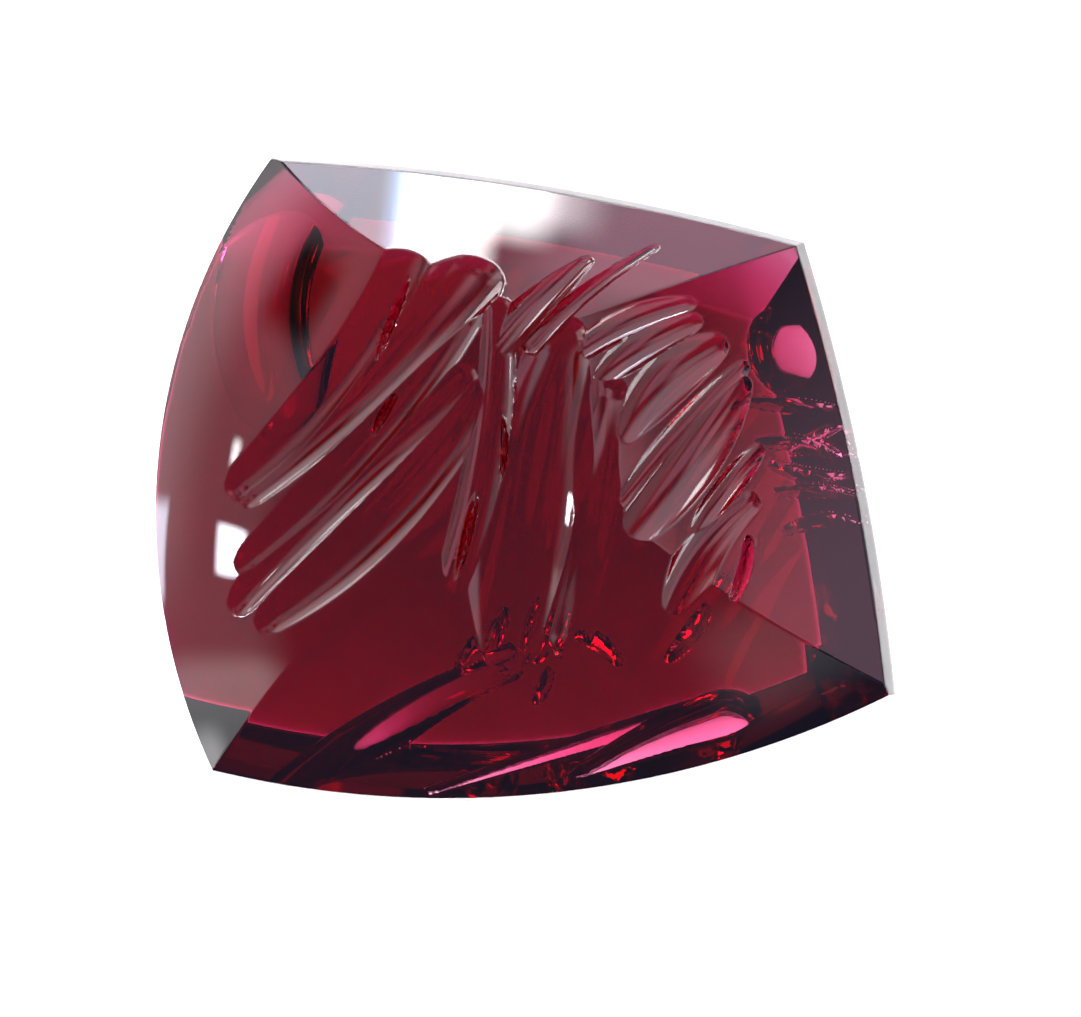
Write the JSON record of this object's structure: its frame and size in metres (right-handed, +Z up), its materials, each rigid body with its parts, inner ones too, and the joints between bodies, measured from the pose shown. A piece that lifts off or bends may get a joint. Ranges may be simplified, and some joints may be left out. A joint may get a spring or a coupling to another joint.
{
  "type": "carved garnet gemstone",
  "caption": "Freeform red garnet, cut and polished: a four-sided domed gem with bowed sides, hollow flutes carved across its crown and a flat table below to rest on.",
  "frame": {"origin": "middle of the stone's outline box, on the flat table it rests on", "axes": "+Z up from the table to the carved crown, +X along the stone's widest side, towards its plainer end, +Y towards the nearly straight back side"},
  "size_m": [0.0161, 0.0146, 0.0043],
  "materials": {
    "garnet": "polished"
  },
  "bodies": {
    "root": {"garnet": "garnet"}
  },
  "joints": []
}
